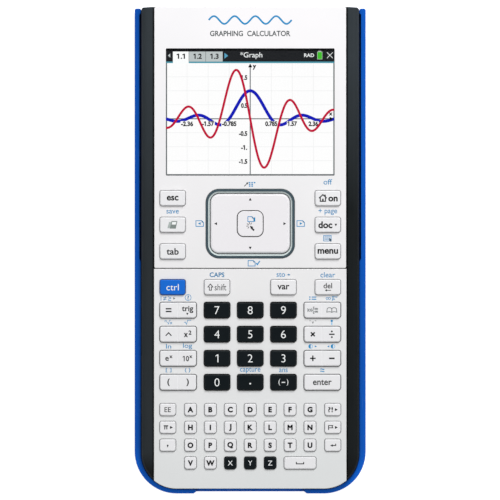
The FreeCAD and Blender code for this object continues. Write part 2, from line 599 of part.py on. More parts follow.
def board_components():
    under = BOARD_Z - 0.02
    chips = [(-9, 30, 14, 14, 1.3), (11, 31, 10, 13, 1.1), (12, 51, 12, 9, 1.1), (-17, 52, 6, 6, 0.9),
             (-25, 36, 4, 3, 1.0), (-4, 66, 7, 5, 1.0), (24, 66, 5, 5, 1.2), (-24, 70, 8, 4, 1.4)]
    solids = [block(x - w / 2, x + w / 2, y - h / 2, y + h / 2, under - t, under) for x, y, w, h, t in chips]
    solids.append(block(-7, 7, -20.2, -15.8, 5.6, under))
    solids.append(block(RESET_X - 3, RESET_X + 3, RESET_Y - 3, RESET_Y + 3, 8.7, under))
    solids.append(block(-13, 13, 40.3, 44.3, BOARD_TOP + 0.02, 12.1))
    solids.append(rod(0, PAD_Y, BOARD_TOP + 0.02, 11.5, 2.5))
    return Part.makeCompound(solids)


def keypad_mat():
    """A silicone sheet with one hollow dome under each key, and two under each double key."""
    top = FLANGE_Z - 0.02
    sheet = slab(0, -44.3, 69.0, 80.8, 7.0, BOARD_TOP + 0.03, BOARD_TOP + 0.8)
    sheet = sheet.fuse([block(s * 27.5 - 7, s * 27.5 + 7, -12, 25.0, BOARD_TOP + 0.03, BOARD_TOP + 0.8)
                        for s in (-1, 1)])
    spots = []
    for keys in (*plain_keys().values(), *letter_keys().values()):
        for x, y, size in keys:
            spots += [(x - 4, y), (x + 4, y)] if size[0] > 11 else [(x, y)]
    for x, y in rocker_keys().values():
        spots += [(x - 4, y), (x + 4, y)]
    z = BOARD_TOP + 0.7
    domes = [Part.makeCone(2.1, 1.4, top - z, Vector(x, y, z)) for x, y in spots]
    hollows = [Part.makeCone(1.6, 1.1, 1.4, Vector(x, y, BOARD_TOP)) for x, y in spots]
    clear = [rod(x, y, BOARD_TOP - 1, BOARD_TOP + 2, 2.1) for x, y in BOARD_POSTS]
    return only_solids(sheet.fuse(domes).cut(hollows + clear))


def usb_port():
    """A small metal-shelled socket in the top edge, open upwards, with its tongue inside."""
    y0, y1 = 84.4, BODY_TOP - 0.5
    cz, skin = USB_Z + USB_H / 2, 0.35
    shell = slab_on_end(0, cz, USB_W, USB_H, 0.5, y0, y1)
    mouth = slab_on_end(0, cz, USB_W - 2 * skin, USB_H - 2 * skin, 0.3, y0 + 1.2, y1 + 1)
    tongue = block(-2.4, 2.4, y0 + 0.8, y1 - 1.5, cz + 0.1, cz + 0.9)
    return only_solids(shell.cut(mouth).fuse(tongue))


def dock_connector():
    """The contact block in the bottom edge, with ten slots across its face."""
    front = BODY_BOTTOM + 0.5
    body = block(-DOCK_W / 2, DOCK_W / 2, front, front + 4.6, DOCK_Z, DOCK_TOP)
    slots = [block(x - 0.45, x + 0.45, front - 1, front + 1.6, DOCK_Z + 0.9, DOCK_TOP - 0.9)
             for x in [(i - 4.5) * 2.0 for i in range(10)]]
    return only_solids(body.cut(slots))


def screw(x, y, seat):
    """A round-headed screw whose head stops against the height seat, with a cross recess."""
    head = rod(x, y, seat - SCREW_HEAD_H, seat, SCREW_HEAD_R)
    head = head.makeFillet(0.4, edges_at(head, seat - SCREW_HEAD_H))
    shank = rod(x, y, seat - 0.1, seat + SCREW_LENGTH, SCREW_R)
    shank = shank.makeChamfer(0.3, edges_at(shank, seat + SCREW_LENGTH))
    deep, arm = seat - SCREW_HEAD_H + 0.6, 0.8
    cross = [block(x - arm, x + arm, y - 0.17, y + 0.17, seat - 2, deep),
             block(x - 0.17, x + 0.17, y - arm, y + arm, seat - 2, deep)]
    return only_solids(head.fuse(shank).cut(cross))


def chassis_screws():
    solids = [screw(x, y, CASE_SCREW_SEAT - 0.02) for x, y in CASE_SCREWS]
    solids += [screw(x, y, BOARD_Z - 0.02) for x, y in BOARD_POSTS]
    return Part.makeCompound(solids)


def battery_door_screws():
    solids = []
    for x, y in DOOR_SCREWS:
        head = rod(x, y, 2.75, 3.28, 1.7)
        shank = rod(x, y, 3.2, 6.6, 0.82)
        cross = [block(x - 0.9, x + 0.9, y - 0.2, y + 0.2, 2, 3.0),
                 block(x - 0.2, x + 0.2, y - 0.9, y + 0.9, 2, 3.0)]
        solids.append(only_solids(head.fuse(shank).cut(cross)))
    return Part.makeCompound(solids)


def reset_button():
    cap = rod(RESET_X, RESET_Y, 2.9, 5.2, 1.45)
    lip = rod(RESET_X, RESET_Y, 4.5, 5.1, 2.4)
    stem = rod(RESET_X, RESET_Y, 5.0, 8.3, 0.9)
    return only_solids(cap.fuse([lip, stem]))


def rubber_feet():
    feet = []
    for x, y in FEET:
        foot = rod(x, y, 2.0, REAR_Z + 0.28, FOOT_R)
        feet.append(foot.makeFillet(0.35, edges_at(foot, 2.0)))
    return Part.makeCompound(feet)


def build():
    """{node: shape} for the whole object."""
    parts = {
        "upper_faceplate": upper_faceplate(),
        "lower_faceplate": lower_faceplate(),
        "front_housing": front_housing(),
        "rear_case": rear_case(),
        "battery_door": battery_door(),
        "slide_cover": slide_cover(),
        "screen_window": screen_window(),
        "lcd_panel": lcd_panel(),
        "lcd_backlight": lcd_backlight(),
        "lcd_flex_cable": lcd_flex(),
        "main_board": main_board(),
        "board_components": board_components(),
        "keypad_mat": keypad_mat(),
        "touchpad_ring": touchpad_ring(),
        "touchpad_frame": touchpad_frame(),
        "touchpad_sensor": touchpad_sensor(),
        "touchpad_cover": touchpad_cover(),
        "select_button": select_button(),
        "battery_pack": battery_pack(),
        "usb_port": usb_port(),
        "dock_connector": dock_connector(),
        "reset_button": reset_button(),
        "rubber_feet": rubber_feet(),
        "chassis_screws": chassis_screws(),
        "battery_door_screws": battery_door_screws(),
    }
    for node, keys in plain_keys().items():
        parts[node] = Part.makeCompound([plain_key(*key, KEY_TOP) for key in keys])
    for node, keys in letter_keys().items():
        parts[node] = Part.makeCompound([plain_key(*key, SMALL_KEY_TOP) for key in keys])
    for node, place in rocker_keys().items():
        parts[node] = rocker_key(*place)
    return parts


os.makedirs("parts", exist_ok=True)
for node, shape in build().items():
    shape.exportStep(f"parts/{node}.step")
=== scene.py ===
import bpy
import json
import math
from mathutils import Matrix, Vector


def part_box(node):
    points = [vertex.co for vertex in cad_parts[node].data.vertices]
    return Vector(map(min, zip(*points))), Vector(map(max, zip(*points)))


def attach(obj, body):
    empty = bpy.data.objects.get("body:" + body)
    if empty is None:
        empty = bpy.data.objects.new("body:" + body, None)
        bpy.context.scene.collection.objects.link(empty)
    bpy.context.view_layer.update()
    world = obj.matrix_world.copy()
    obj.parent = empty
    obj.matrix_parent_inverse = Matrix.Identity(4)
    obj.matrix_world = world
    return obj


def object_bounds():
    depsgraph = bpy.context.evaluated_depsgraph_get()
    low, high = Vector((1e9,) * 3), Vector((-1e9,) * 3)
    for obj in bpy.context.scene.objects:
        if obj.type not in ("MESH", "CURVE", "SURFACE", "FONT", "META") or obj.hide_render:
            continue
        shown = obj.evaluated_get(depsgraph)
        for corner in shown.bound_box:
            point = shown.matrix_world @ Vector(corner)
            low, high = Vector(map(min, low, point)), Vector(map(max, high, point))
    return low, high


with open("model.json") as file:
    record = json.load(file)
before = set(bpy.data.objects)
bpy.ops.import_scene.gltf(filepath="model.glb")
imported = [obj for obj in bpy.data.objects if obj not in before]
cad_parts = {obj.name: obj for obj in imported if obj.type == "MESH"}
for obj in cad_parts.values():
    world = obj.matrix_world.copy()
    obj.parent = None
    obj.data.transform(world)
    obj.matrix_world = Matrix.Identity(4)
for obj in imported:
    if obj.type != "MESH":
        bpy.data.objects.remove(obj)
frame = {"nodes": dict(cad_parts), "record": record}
cad_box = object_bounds()

# The looks of a graphing calculator: moulded plastics, printed legends and a lit display.
# Drawing sizes are in millimetres, or in display dots on the screen. Scene units are metres.

MM = 0.001
INK_LIFT = 0.02              # how far print stands above the surface that it is on
BODY = {node: body for body, nodes in frame["record"]["behaviour"]["bodies"].items() for node in nodes}


# ---- Materials ----
def colour(red, green, blue):
    """A scene colour from 0 to 255 display values."""
    def linear(v):
        v /= 255
        return v / 12.92 if v <= 0.04045 else ((v + 0.055) / 1.055) ** 2.4
    return (linear(red), linear(green), linear(blue), 1)


class Shader:
    """A material's node tree, with short calls for adding nodes and joining them."""

    def __init__(self, name):
        self.material = bpy.data.materials.new(name)
        self.material.use_nodes = True
        self.tree = self.material.node_tree
        self.surface = self.tree.nodes["Principled BSDF"]
        self.place = self.add("TexCoord").outputs["Object"]

    def add(self, kind, inputs=None, **settings):
        made = self.tree.nodes.new("ShaderNode" + kind)
        for key, value in settings.items():
            setattr(made, key, value)
        for key, value in (inputs or {}).items():
            self.join(value, made.inputs[key])
        return made

    def join(self, value, socket):
        if isinstance(value, bpy.types.NodeSocket):
            self.tree.links.new(value, socket)
        else:
            socket.default_value = value

    def set(self, **inputs):
        for key, value in inputs.items():
            self.join(value, self.surface.inputs[key.replace("_", " ")])

    def noise(self, size_mm, detail=2.0, roughness=0.5, stretch=(1, 1, 1)):
        """Noise between 0 and 1 whose blotches are about size_mm across."""
        mapped = self.add("Mapping", {"Vector": self.place, "Scale": stretch})
        return self.add("TexNoise", {"Vector": mapped.outputs[0], "Scale": 1 / (size_mm * MM),
                                     "Detail": detail, "Roughness": roughness}).outputs["Fac"]

    def spread(self, value, low, high, start=0.3, end=0.7):
        """Stretches a 0 to 1 value between start and end to run from low to high."""
        return self.add("MapRange", {"Value": value, "From Min": start, "From Max": end,
                                     "To Min": low, "To Max": high}).outputs[0]

    def mix(self, amount, first, second, blend="MIX"):
        made = self.add("Mix", data_type="RGBA", blend_type=blend)
        for socket, value in ((0, amount), (6, first), (7, second)):
            self.join(value, made.inputs[socket])
        return made.outputs[2]

    def bump(self, height, depth_mm, strength=1.0, below=None):
        made = self.add("Bump", {"Height": height, "Distance": depth_mm * MM, "Strength": strength})
        if below is not None:
            self.join(below, made.inputs["Normal"])
        return made.outputs[0]

    def shaded(self, base, reach_mm=1.2, deepest=0.1):
        """Darkens a colour inside narrow gaps, where little light gets in."""
        sky = self.add("AmbientOcclusion", {"Distance": reach_mm * MM}, samples=6).outputs["AO"]
        return self.mix(1.0, base, self.spread(sky, deepest, 1.0, 0.15, 0.8), blend="MULTIPLY")

    def edges(self, radius_mm):
        """1 along sharp edges and 0 on flat faces."""
        soft = self.add("Bevel", {"Radius": radius_mm * MM}, samples=4).outputs[0]
        sharp = self.add("NewGeometry").outputs["Normal"]
        same = self.add("VectorMath", {0: soft, 1: sharp}, operation="DOT_PRODUCT").outputs["Value"]
        return self.spread(same, 1.0, 0.0, start=0.80, end=0.995)


def moulded(name, base, rough, grain=0.35, depth=0.004, tint=0.03, gloss=0.4, worn=None, tone=None,
            deepest=0.1):
    """Injection-moulded plastic: fine spark-eroded grain, faint flow blotches and handled edges."""
    s = Shader(name)
    body = tone(s, base) if tone else base
    body = s.mix(s.spread(s.noise(22, detail=3), 0, tint * 2), body, (0, 0, 0, 1))
    if worn:
        body = s.mix(s.spread(s.edges(0.35), 0, 0.3, 0.1, 0.9), body, worn)
    fine = s.noise(grain, detail=1.0)
    handled = s.spread(s.noise(9, detail=4), rough * 0.82, rough * 1.15)
    # Painted shade darkens the base colour in narrow gaps.
    s.set(Base_Color=s.shaded(body, deepest=deepest), Roughness=handled, Specular_IOR_Level=gloss,
          Normal=s.bump(fine, depth))
    return s.material


def hand_worn(left, right):
    """Painted reflection and shade: a tone that darkens from the top end down, most on the right side, and
    more again near the bottom end.
    """
    def tone(s, base):
        # Painted reflection at the top end, painted shade lower down and on the right side.
        split = s.add("SeparateXYZ", {"Vector": s.place}).outputs
        side_shade = s.mix(s.spread(split["X"], 0, 1, -0.01, 0.01), left, right)
        low = s.mix(s.spread(split["Y"], 0.85, 0, -0.085, -0.078), side_shade, (0, 0, 0, 1))
        return s.mix(s.spread(split["Y"], 0, 1, 0.015, 0.075), low, base)
    return tone


def polished_bevel(pale, pivot):
    """A tone with a painted reflection: paler on slopes that face the pivot."""
    def tone(s, base):
        facing = s.add("NewGeometry").outputs["Normal"]
        away = s.add("VectorMath", {0: s.place, 1: pivot}, operation="SUBTRACT").outputs[0]
        inward = s.add("VectorMath", {0: away, 1: facing}, operation="DOT_PRODUCT").outputs["Value"]
        slope = s.spread(s.add("SeparateXYZ", {"Vector": facing}).outputs["Z"], 1, 0, 0.75, 0.95)
        both = s.add("Math", {0: slope, 1: s.spread(inward, 1, 0, -0.003, 0)}, operation="MULTIPLY")
        return s.mix(both.outputs[0], base, pale)
    return tone


def rolled_foot(shade, foot):
    """A tone of painted shade that greys the rolled lower edge of a piece whose lowest edge is at foot."""
    def tone(s, base):
        along = s.add("SeparateXYZ", {"Vector": s.place}).outputs["Y"]
        return s.mix(s.spread(along, 1, 0, foot + 0.5 * MM, foot + 1.1 * MM), base, shade)
    return tone


def faceplate_plastic():
    """White plate with dust-fine mica in it; painted shade makes it a little greyer towards the hand end and
    darker in narrow gaps.
    """
    s = Shader("faceplate_white")
    along = s.add("SeparateXYZ", {"Vector": s.place}).outputs["Y"]
    # Painted shade: the colour darkens from the top end towards the hand end.
    upper = s.mix(s.spread(along, 0, 1, -0.007, 0.09), colour(238, 237, 238), colour(248, 246, 248))
    base = s.mix(s.spread(along, 0, 1, cad_box[0].y, -0.007), colour(227, 229, 229), upper)
    flow = s.mix(s.spread(s.noise(30, detail=3), 0, 0.06), base, colour(190, 204, 206))
    mica = s.mix(s.spread(s.noise(0.22, detail=0), 0, 0.06, 0.62, 0.72), flow, colour(255, 255, 255))
    s.set(Base_Color=s.shaded(mica, deepest=0.7), Roughness=s.spread(s.noise(7, detail=3), 0.38, 0.48),
          Specular_IOR_Level=0.35, Normal=s.bump(s.noise(0.4, detail=1), 0.003))
    return s.material


def cover_plastic():
    """Glossy blue cover: slight waviness, hairline scratches from sliding on and off, painted light that
    makes the right side and the top of the closed end's rim paler, and painted shade in narrow gaps.
    """
    s = Shader("cover_blue")
    place = s.add("SeparateXYZ", {"Vector": s.place}).outputs
    facing = s.add("SeparateXYZ", {"Vector": s.add("NewGeometry").outputs["Normal"]}).outputs
    # Painted light: the right side is a paler blue.
    plain = s.mix(s.spread(place["X"], 0, 1, -0.04, 0.04), colour(6, 84, 182), colour(12, 94, 200))
    # Painted light on the upward faces of the closed end's rim.
    upward = s.spread(facing["Z"], 0, 1, 0.5, 0.9)
    closed_end = s.spread(place["Y"], 1, 0, -0.088, -0.076)
    painted_rim_light = s.add("Math", {0: upward, 1: closed_end}, operation="MULTIPLY").outputs[0]
    plain = s.mix(painted_rim_light, plain, colour(12, 106, 226))
    base = s.mix(s.spread(s.noise(35, detail=2), 0, 0.15), plain, colour(0, 50, 130))
    hairs = s.noise(0.5, detail=3, stretch=(1, 0.03, 1))
    scratch = s.spread(hairs, 0, 1, start=0.66, end=0.74)
    body = s.mix(s.spread(scratch, 0, 0.08, 0, 1), base, colour(120, 165, 225))
    rough = s.add("Math", {0: s.spread(s.noise(12, detail=4), 0.20, 0.32),
                           1: s.spread(scratch, 0, 0.18, 0, 1)}, operation="ADD").outputs[0]
    wavy = s.bump(s.noise(6, detail=1), 0.02, 0.6)
    s.set(Base_Color=s.shaded(body, reach_mm=1.5, deepest=0.3), Roughness=rough, Specular_IOR_Level=0.2,
          Normal=s.bump(hairs, 0.004, 0.5, below=wavy))
    return s.material


def housing_plastic():
    """Dark shells with a soft-touch finish and even pebbling; a painted reflection keeps the top end paler,
    and painted shade darkens them lower down and on the right.
    """
    return moulded("housing_dark", colour(46, 53, 58), 0.55, grain=0.3, depth=0.012, tint=0.05, gloss=0.2,
                   tone=hand_worn(colour(36, 42, 46), colour(9, 16, 18)))


def window_glass():
    """Clear hard-coated window: it lets the display through and adds only a faint reflection."""
    s = Shader("window_clear")
    tree, surface = s.tree, s.surface
    clear = s.add("BsdfTransparent", {"Color": (1, 1, 1, 1)})
    shine = s.add("BsdfGlossy", {"Color": (1, 1, 1, 1), "Roughness": 0.06,
                                 "Normal": s.bump(s.noise(14, detail=1), 0.01, 0.4)})
    facing = s.add("Fresnel", {"IOR": 1.33}).outputs[0]
    smear = s.add("Math", {0: facing, 1: s.spread(s.noise(16, detail=3), 0.35, 0.75)}, operation="MULTIPLY")
    both = s.add("MixShader", {0: smear.outputs[0], 1: clear.outputs[0], 2: shine.outputs[0]})
    tree.links.new(both.outputs[0], tree.nodes["Material Output"].inputs["Surface"])
    tree.nodes.remove(surface)
    return s.material


def display_light(name, base, strength=0.9, dots=True):
    """A colour on the lit display, with its fine grid of dots."""
    s = Shader(name)
    glow = base
    if dots:
        wave = s.add("TexWave", {"Vector": s.place, "Scale": 1 / (DOT * MM) / 20}, bands_direction="X")
        dim = tuple(c * 0.8 for c in base[:3]) + (1,)
        glow = s.mix(s.spread(wave.outputs["Fac"], 0, 0.04, 0, 1), base, dim)
    s.set(Base_Color=(0, 0, 0, 1), Roughness=0.3, Specular_IOR_Level=0.0, Emission_Color=glow,
          Emission_Strength=strength)
    return s.material


def ink(name, base, rough=0.45):
    """Pad-printed ink: almost flat, with uneven density."""
    s = Shader(name)
    thin = tuple(min(1.0, c * 1.12 + 0.01) for c in base[:3]) + (1,)
    s.set(Base_Color=s.mix(s.spread(s.noise(0.5, detail=3), 0, 1), base, thin), Roughness=rough,
          Specular_IOR_Level=0.35, Normal=s.bump(s.noise(0.15, detail=1), 0.002))
    return s.material


def metal(name, base, rough):
    s = Shader(name)
    lines = s.noise(0.4, detail=3, stretch=(1, 0.08, 1))
    s.set(Base_Color=s.mix(s.spread(lines, 0, 0.4), base, colour(110, 112, 115)), Metallic=1.0,
          Roughness=s.spread(lines, rough * 0.8, rough * 1.3), Normal=s.bump(lines, 0.003))
    return s.material


def rubber(name, base):
    s = Shader(name)
    dust = s.mix(s.spread(s.noise(1.5, detail=5), 0, 0.18, 0.5, 0.8), base, colour(120, 122, 124))
    s.set(Base_Color=dust, Roughness=0.82, Specular_IOR_Level=0.3,
          Normal=s.bump(s.noise(0.2, detail=2), 0.01))
    return s.material


def circuit_board():
    """Solder mask over copper: tracks show as slightly raised, lighter bands."""
    s = Shader("circuit_board")
    cells = s.add("TexVoronoi", {"Vector": s.place, "Scale": 1 / (3 * MM)}, feature="DISTANCE_TO_EDGE",
                  distance="MANHATTAN").outputs["Distance"]
    track = s.spread(cells, 1, 0, 0.05, 0.09)
    s.set(Base_Color=s.mix(track, colour(12, 66, 36), colour(30, 104, 58)), Roughness=0.32,
          Normal=s.bump(track, 0.02))
    return s.material


def display_glass():
    s = Shader("lcd_glass")
    grid = s.add("TexWave", {"Vector": s.place, "Scale": 1 / (0.4 * MM)}, bands_direction="X").outputs["Fac"]
    s.set(Base_Color=s.mix(grid, colour(24, 27, 30), colour(34, 38, 42)), Roughness=0.12)
    return s.material


def dress(material, *nodes):
    for node in nodes:
        for slot in frame["nodes"][node].material_slots:
            slot.material = material


def dress_cad_parts():
    """Gives every CAD part its finish."""
    white_key = moulded("key_white", colour(238, 238, 240), 0.42, depth=0.003, tint=0.01, deepest=0.7)
    black_key = moulded("key_black", colour(14, 22, 26), 0.4, depth=0.003, tint=0.06, gloss=0.15,
                        worn=colour(44, 54, 60))
    blue_key = moulded("key_blue", colour(20, 108, 214), 0.4, depth=0.003, tint=0.03, gloss=0.2,
                       worn=colour(50, 130, 230))
    # Painted shade along the pad's rolled lower edge.
    foot = rolled_foot(colour(206, 208, 211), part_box("touchpad_cover")[0].y)
    pad = moulded("pad_white", colour(240, 238, 241), 0.45, grain=0.3, depth=0.005, tint=0.01, tone=foot)
    low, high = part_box("touchpad_ring")
    # Painted reflection on the ring's inner bevel.
    bevel_reflection = polished_bevel(colour(212, 224, 223), (low + high) / 2)
    ring = moulded("ring_slate", colour(66, 84, 92), 0.4, depth=0.003, tint=0.05, gloss=0.3, tone=bevel_reflection)
    dark = moulded("parts_black", colour(24, 25, 27), 0.45, tint=0.05)
    steel = metal("steel", colour(172, 174, 178), 0.3)
    keys = [node for node in frame["nodes"] if node.startswith(("key_", "rocker_", "alpha_"))]
    black = [node for node in keys if node[4:] in [*"0123456789", "point", "negate"]] + ["xyz_keys"]
    dress(white_key, *keys)
    dress(black_key, *black)
    dress(blue_key, "key_ctrl")
    dress(faceplate_plastic(), "upper_faceplate", "lower_faceplate")
    dress(housing_plastic(), "front_housing", "rear_case", "battery_door")
    dress(cover_plastic(), "slide_cover")
    dress(window_glass(), "screen_window")
    dress(display_glass(), "lcd_panel")
    dress(pad, "touchpad_cover", "select_button")
    dress(ring, "touchpad_ring")
    dress(dark, "touchpad_frame", "board_components", "dock_connector", "battery_pack", "reset_button")
    dress(steel, "usb_port", "chassis_screws", "battery_door_screws")
    dress(circuit_board(), "main_board", "touchpad_sensor")
    dress(rubber("foot_rubber", colour(28, 29, 31)), "rubber_feet")
    dress(rubber("mat_silicone", colour(150, 154, 156)), "keypad_mat")
    dress(moulded("backlight_frame", colour(228, 228, 222), 0.5), "lcd_backlight")
    dress(moulded("flex_amber", colour(188, 112, 32), 0.25, depth=0.001), "lcd_flex_cable")


# ---- Flat print ----
def edges_of_line(points, width, closed):
    """The left and right edges of a line of that width, with mitred corners."""
    count, left, right = len(points), [], []
    for i, point in enumerate(points):
        before = points[i - 1] if closed or i else None
        after = points[(i + 1) % count] if closed or i < count - 1 else None
        ends = [pair for pair in ((before, point), (point, after)) if None not in pair]
        steps = [(b - a).normalized() for a, b in ends]
        along = sum(steps, Vector((0, 0))).normalized()
        across = Vector((-along.y, along.x))
        reach = width / 2 / max(0.35, across.dot(Vector((-steps[0].y, steps[0].x))))
        left.append(point + across * reach)
        right.append(point - across * reach)
    return left, right


def loops_round(faces):
    """The loops of vertices that run round the outside of the faces and round their holes."""
    edges = {pair for face in faces for pair in zip(face, face[1:] + face[:1])}
    after = {a: b for a, b in sorted(edges) if (b, a) not in edges}
    loops = []
    while after:
        here, loop = min(after), []
        while here in after:
            loop.append(here)
            here = after.pop(here)
        loops.append(loop)
    return loops


def glyphs(words, weight):
    """Vertices and faces of a line of text. A weight above 0 adds a stroke that thickens it."""
    points, faces = thin_glyphs(words, min(weight, 0.0))
    if weight > 0:
        for loop in loops_round(faces):
            left, right = edges_of_line([points[i] for i in loop], 2 * weight, True)
            first, count = len(points), len(loop)
            points += left + right
            faces += [(first + i, first + (i + 1) % count, first + count + (i + 1) % count, first + count + i)
                      for i in range(count)]
    return points, faces


def thin_glyphs(words, weight):
    """Vertices and faces of a line of text. A weight below 0 thins it."""
    curve = bpy.data.curves.new("words", "FONT")
    curve.body, curve.offset, curve.resolution_u = words, weight, 5
    holder = bpy.data.objects.new("words", curve)
    mesh = bpy.data.meshes.new_from_object(holder)
    points = [Vector(v.co[:2]) for v in mesh.vertices]
    faces = [tuple(p.vertices) for p in mesh.polygons]
    bpy.data.objects.remove(holder)
    bpy.data.curves.remove(curve)
    bpy.data.meshes.remove(mesh)
    return points, faces


def box_of(points):
    xs, ys = [p[0] for p in points], [p[1] for p in points]
    return min(xs), min(ys), max(xs), max(ys)


def lettering(words, weight):
    """Glyphs for the words. Each 1 gets a flag, which the typeface leaves out."""
    points, faces = glyphs(words, weight)
    left, _, right, top = box_of(glyphs("1", weight)[0])
    stroke = right - left
    for i, letter in enumerate(words):
        if letter == "1":
            x = box_of(glyphs(words[:i + 1], weight)[0])[2] - stroke
            first, fall = len(points), top - 0.6 * FLAG
            flag = (x, top), (x - FLAG, fall), (x - FLAG, fall - stroke), (x, top - stroke)
            points += [Vector(p) for p in flag]
            faces.append(tuple(range(first, first + 4)))
    return points, faces


CAP_HEIGHT = box_of(glyphs("H", 0)[0])[3]
FLAG = 0.16                   # reach of the flag on a 1


class Print:
    """Flat shapes in one ink on one body, gathered into one piece."""

    def __init__(self, name, body, material, height, step=(1, 1)):
        self.name, self.body, self.material = name, body, material
        self.height, self.step = height, step
        self.origin = (0, 0)
        self.vertices, self.faces = [], []

    def at(self, x, y):
        self.origin = (x, y)
        return self

    def add(self, points, faces):
        first = len(self.vertices)
        self.vertices += [(self.origin[0] + p[0] * self.step[0], self.origin[1] + p[1] * self.step[1])
                          for p in points]
        self.faces += [tuple(first + i for i in face) for face in faces]

    def fill(self, *points):
        self.add(points, [tuple(range(len(points)))])

    def box(self, x, y, w, h):
        left, right, low, high = x - w / 2, x + w / 2, y - h / 2, y + h / 2
        self.fill((left, low), (right, low), (right, high), (left, high))

    def line(self, points, width, closed=False):
        points = [Vector(p) for p in points]
        left, right = edges_of_line(points, width, closed)
        count = len(points)
        pairs = [(i, (i + 1) % count) for i in range(count - (not closed))]
        self.add(left + right, [(i, j, count + j, count + i) for i, j in pairs])

    def disc(self, x, y, r, start=0, end=360, parts=28):
        turns = [math.radians(start + (end - start) * i / parts) for i in range(parts + (end - start < 360))]
        self.fill(*[(x + r * math.cos(t), y + r * math.sin(t)) for t in turns])

    def ring(self, x, y, r, width):
        turns = [math.tau * i / 28 for i in range(28)]
        self.line([(x + r * math.cos(t), y + r * math.sin(t)) for t in turns], width, closed=True)

    def arrow(self, x, y, size, angle):
        """A solid triangle that points along the angle."""
        turns = [math.radians(angle + t) for t in (0, 125, 235)]
        self.fill(*[(x + size * math.cos(t), y + size * math.sin(t)) for t in turns])

    def write(self, words, x, y, cap, width=None, weight=0.0, side=0):
        """Text with capitals cap high, centred on (x, y), or ending there for side -1."""
        points, faces = lettering(words, weight)
        low_x, low_y, high_x, high_y = box_of(points)
        tall = cap / CAP_HEIGHT
        wide = width / (high_x - low_x) if width else tall
        up = 1 if self.step[1] > 0 else -1
        shift = (low_x + high_x) / 2 if side == 0 else high_x
        placed = [(x + (p.x - shift) * wide, y + up * (p.y - (low_y + high_y) / 2) * tall) for p in points]
        self.add(placed, faces)

    def finish(self):
        if not self.faces:
            return
        mesh = bpy.data.meshes.new(self.name)
        mesh.from_pydata([(x * MM, y * MM, self.height * MM) for x, y in self.vertices], [], self.faces)
        mesh.validate()
        for face in mesh.polygons:
            if face.normal.z < 0:
                face.flip()
        mesh.materials.append(self.material)
        piece = bpy.data.objects.new(self.name, mesh)
        bpy.context.scene.collection.objects.link(piece)
        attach(piece, self.body)


def centre(node):
    """The middle of a CAD part's top, in millimetres."""
    low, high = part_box(node)
    return (low.x + high.x) / 2 / MM, (low.y + high.y) / 2 / MM, high.z / MM


def on_part(node, material, tag):
    """Print on top of a CAD part, placed from the part's middle."""
    x, y, top = centre(node)
    return Print(f"print_{tag}_{node}", BODY[node], material, top + INK_LIFT).at(x, y)


# ---- Key legends ----
WORD_CAP, DIGIT_CAP, LETTER_CAP = 2.4, 3.1, 1.85
SMALL_CAP, SMALL_WORD_CAP, BRACKET_CAP = 1.7, 2.0, 1.2
BOLD, MEDIUM, LIGHT, THIN = 0.032, 0.018, 0.004, -0.008
LETTER_WEIGHT, LABEL_WEIGHT = 0.052, 0.045
SIDE = 3.66                   # from a double key's middle to the middle of each half
PITCH = 7.69                  # between letter keys
END_X = 31.84                 # from the middle to the end keys of a letter row

WORD_KEYS = {                 # key: words, x, y, width, weight
    "key_esc": ("esc", 0, 0, 4.5, 0.027),
    "key_tab": ("tab", 0, 0, 4.7, MEDIUM),
    "key_home_on": ("on", 2.0, -0.35, 3.6, BOLD),
    "key_doc": ("doc", -0.95, 0, 5.4, BOLD),
    "key_menu": ("menu", 0, 0, 7.9, BOLD),
    "key_ctrl": ("ctrl", 0, 0, 4.8, LIGHT),
    "key_shift": ("shift", 1.35, 0, 4.5, 0.0),
    "key_var": ("var", 0, 0, 4.65, MEDIUM),
    "key_del": ("del", 0, 0.6, 3.3, 0.01),
    "key_enter": ("enter", 0, 0, 7.2, 0.014),
}


def house(p):
    p.line([(-3.4, 0.0), (-1.9, 1.35), (-0.4, 0.0)], 0.42)
    p.line([(-2.9, 0.2), (-2.9, -1.2), (-0.9, -1.2), (-0.9, 0.2)], 0.4)
    p.fill((-1.3, 0.8), (-0.8, 0.35), (-0.8, 1.4), (-1.3, 1.4))
    p.fill((-2.2, -1.2), (-1.6, -1.2), (-1.6, -0.2), (-2.2, -0.2))


def shift_arrow(p):
    p.line([(-2.95, -1.15), (-2.95, 0.1), (-3.5, 0.1), (-2.55, 1.25), (-1.6, 0.1), (-2.15, 0.1),
            (-2.15, -1.15)], 0.27, closed=True)


def delete_arrow(p):
    p.line([(1.25, -1.2), (-0.5, -1.2)], 0.24)
    p.arrow(-0.65, -1.2, 0.55, 180)


def notepads(p, dark, light):
    """Two leaning pads, the front one with a light panel."""
    for shade, dx, dy, h in ((dark, -0.7, -0.1, 1.2), (p, 0.25, 0, 1.45)):
        shade.fill((dx - 1.3, dy - h), (dx + 0.95, dy - h), (dx + 1.6, dy + h), (dx - 0.65, dy + h))
    light.fill((-0.35, 0.1), (1.2, 0.1), (1.45, 1.1), (-0.1, 1.1))


def word_keys(inks):
    extras = {"key_home_on": house, "key_shift": shift_arrow, "key_del": delete_arrow}
    for node, (words, x, y, width, weight) in WORD_KEYS.items():
        p = on_part(node, inks["white" if node == "key_ctrl" else "black"], "word")
        p.write(words, x, y, WORD_CAP if node != "key_del" else 2.0, width, weight)
        extras.get(node, lambda unused: None)(p)
        if node == "key_doc":
            p.arrow(3.1, 0.05, 0.62, -90)
        p.finish()
    layers = [on_part("key_scratchpad", inks[name], name) for name in ("mist", "pale", "white")]
    for layer, step in zip(layers, (1, 0, 2)):
        layer.height += step * 0.01
    notepads(*layers)
    for layer in layers:
        layer.finish()


